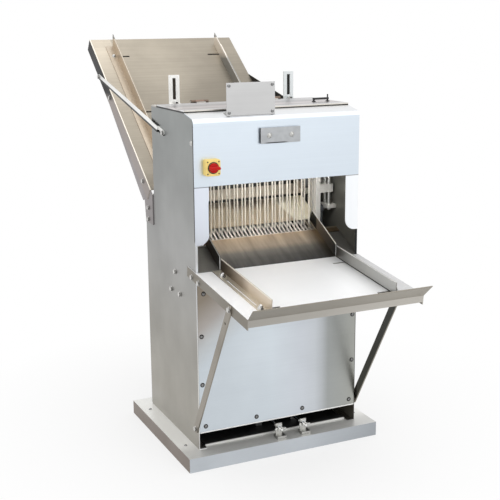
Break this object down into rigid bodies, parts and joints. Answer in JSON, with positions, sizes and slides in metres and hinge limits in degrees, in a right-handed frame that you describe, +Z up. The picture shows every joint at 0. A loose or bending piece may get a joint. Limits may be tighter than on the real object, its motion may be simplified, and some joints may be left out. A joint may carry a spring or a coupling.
{
  "type": "bread slicer",
  "caption": "Floor-standing bread slicer with a rear loading chute, reciprocating blade frames, sloping trough and front tray in stainless sheet.",
  "frame": {"origin": "middle of the plinth's underside, on the floor", "axes": "+X to the right seen from the front, +Y to the rear where the chute is, +Z up"},
  "size_m": [0.62, 1.346, 1.2099],
  "materials": {
    "polished_steel": "polished stainless sheet",
    "side_steel": "brushed stainless sheet",
    "chute_steel": "brushed stainless sheet with warm reflections",
    "plinth_steel": "satin stainless sheet",
    "plain_steel": "plain machined steel",
    "bright_steel": "zinc plated",
    "blade_steel": "ground blade steel",
    "cast_grey": "machined casting",
    "belt_rubber": "matt",
    "motor_paint": "satin paint",
    "black_plastic": "matt",
    "switch_yellow": "satin",
    "switch_red": "satin"
  },
  "bodies": {
    "cabinet": {"hood": "polished_steel", "hood_cheeks": "polished_steel", "front_panel": "polished_steel", "rear_beam": "polished_steel", "slotted_uprights": "polished_steel", "name_plate": "polished_steel", "name_plate_bracket": "polished_steel", "clamp_plate": "polished_steel", "tray": "polished_steel", "side_panel_left": "side_steel", "side_panel_right": "side_steel", "rear_panel": "side_steel", "chute_arms": "side_steel", "cross_rails": "side_steel", "chute_plate": "chute_steel", "feed_bed": "chute_steel", "outfeed_trough": "chute_steel", "plinth": "plinth_steel", "plinth_rails": "plain_steel", "guide_brackets": "plain_steel", "slide_rails": "plain_steel", "panel_screws": "bright_steel", "dome_bolts": "bright_steel", "frame_bolts": "bright_steel", "lid_hinge_pins": "bright_steel", "chute_stays": "bright_steel", "guide_rods": "bright_steel", "tension_brackets": "bright_steel", "tray_struts": "bright_steel", "flange_bearings": "cast_grey", "drive_belt": "belt_rubber", "cable_gland": "black_plastic", "switch_box": "switch_yellow"},
    "front_blade_frame": {"front_frame": "plain_steel", "front_blades": "blade_steel"},
    "rear_blade_frame": {"rear_frame": "plain_steel", "rear_blades": "blade_steel"},
    "crank": {"main_shaft": "plain_steel", "driven_pulley": "cast_grey"},
    "front_rods": {"front_conrods": "cast_grey"},
    "rear_rods": {"rear_conrods": "cast_grey"},
    "motor_carriage": {"motor_plate": "plain_steel", "motor": "motor_paint", "tension_rods": "bright_steel"},
    "motor_rotor": {"motor_shaft": "plain_steel", "motor_pulley": "cast_grey"},
    "nut_left": {"wing_nut_left": "bright_steel"},
    "nut_right": {"wing_nut_right": "bright_steel"},
    "switch": {"switch_knob": "switch_red"},
    "lid_flap": {"lid": "polished_steel", "lid_handle": "black_plastic"},
    "loaf_hold_down": {"hold_down": "chute_steel"},
    "chute_side_left": {"chute_guide_left": "chute_steel", "chute_knobs_left": "bright_steel"},
    "chute_side_right": {"chute_guide_right": "chute_steel", "chute_knobs_right": "bright_steel"},
    "tray_side_left": {"tray_guide_left": "chute_steel", "tray_knobs_left": "bright_steel"},
    "tray_side_right": {"tray_guide_right": "chute_steel", "tray_knobs_right": "bright_steel"}
  },
  "joints": [
    {"name": "front_frame_slide", "type": "slide", "parent": "cabinet", "child": "front_blade_frame", "axis": [0, 0, 1], "range_m": [-0.016, 0.016]},
    {"name": "rear_frame_slide", "type": "slide", "parent": "cabinet", "child": "rear_blade_frame", "axis": [0, 0, 1], "range_m": [-0.016, 0.016]},
    {"name": "crank_spin", "type": "hinge", "parent": "cabinet", "child": "crank", "pos_m": [0, -0.038, 0.5005], "axis": [1, 0, 0], "continuous": true},
    {"name": "front_rod_pivot", "type": "hinge", "parent": "crank", "child": "front_rods", "pos_m": [0, -0.054, 0.5005], "axis": [1, 0, 0], "continuous": true},
    {"name": "rear_rod_pivot", "type": "hinge", "parent": "crank", "child": "rear_rods", "pos_m": [0, -0.022, 0.5005], "axis": [1, 0, 0], "continuous": true},
    {"name": "motor_slide", "type": "slide", "parent": "cabinet", "child": "motor_carriage", "axis": [0, 1, 0], "range_m": [-0.008, 0.008], "deforming": ["drive_belt"]},
    {"name": "motor_spin", "type": "hinge", "parent": "motor_carriage", "child": "motor_rotor", "pos_m": [0, 0.02, 0.1413], "axis": [1, 0, 0], "continuous": true},
    {"name": "wing_nut_left_turn", "type": "hinge", "parent": "cabinet", "child": "nut_left", "pos_m": [-0.0095, -0.221, 0.072], "axis": [0, 1, 0], "range_deg": [-1925, 1925]},
    {"name": "wing_nut_right_turn", "type": "hinge", "parent": "cabinet", "child": "nut_right", "pos_m": [0.0715, -0.221, 0.072], "axis": [0, 1, 0], "range_deg": [-1925, 1925]},
    {"name": "switch_turn", "type": "hinge", "parent": "cabinet", "child": "switch", "pos_m": [-0.211, -0.222, 0.868], "axis": [0, 1, 0], "range_deg": [0, 90]},
    {"name": "lid_hinge", "type": "hinge", "parent": "cabinet", "child": "lid_flap", "pos_m": [0, 0.091, 1.0213], "axis": [-1, 0, 0], "range_deg": [0, 85]},
    {"name": "hold_down_slide", "type": "slide", "parent": "cabinet", "child": "loaf_hold_down", "axis": [0, 0, 1], "range_m": [0, 0.05]},
    {"name": "chute_guide_left_slide", "type": "slide", "parent": "cabinet", "child": "chute_side_left", "axis": [1, 0, 0], "range_m": [0, 0.05]},
    {"name": "chute_guide_right_slide", "type": "slide", "parent": "cabinet", "child": "chute_side_right", "axis": [-1, 0, 0], "range_m": [0, 0.05]},
    {"name": "tray_guide_left_slide", "type": "slide", "parent": "cabinet", "child": "tray_side_left", "axis": [1, 0, 0], "range_m": [0, 0.05]},
    {"name": "tray_guide_right_slide", "type": "slide", "parent": "cabinet", "child": "tray_side_right", "axis": [-1, 0, 0], "range_m": [0, 0.05]}
  ],
  "couplings": [
    {"joint": "rear_frame_slide", "follows": "front_frame_slide", "ratio": -1},
    {"joint": "front_rod_pivot", "follows": "crank_spin", "ratio": -1},
    {"joint": "rear_rod_pivot", "follows": "crank_spin", "ratio": -1},
    {"joint": "motor_spin", "follows": "crank_spin", "ratio": 3.5},
    {"joint": "wing_nut_left_turn", "follows": "motor_slide", "rad_per_m": 4188.8},
    {"joint": "wing_nut_right_turn", "follows": "motor_slide", "rad_per_m": 4188.8}
  ]
}
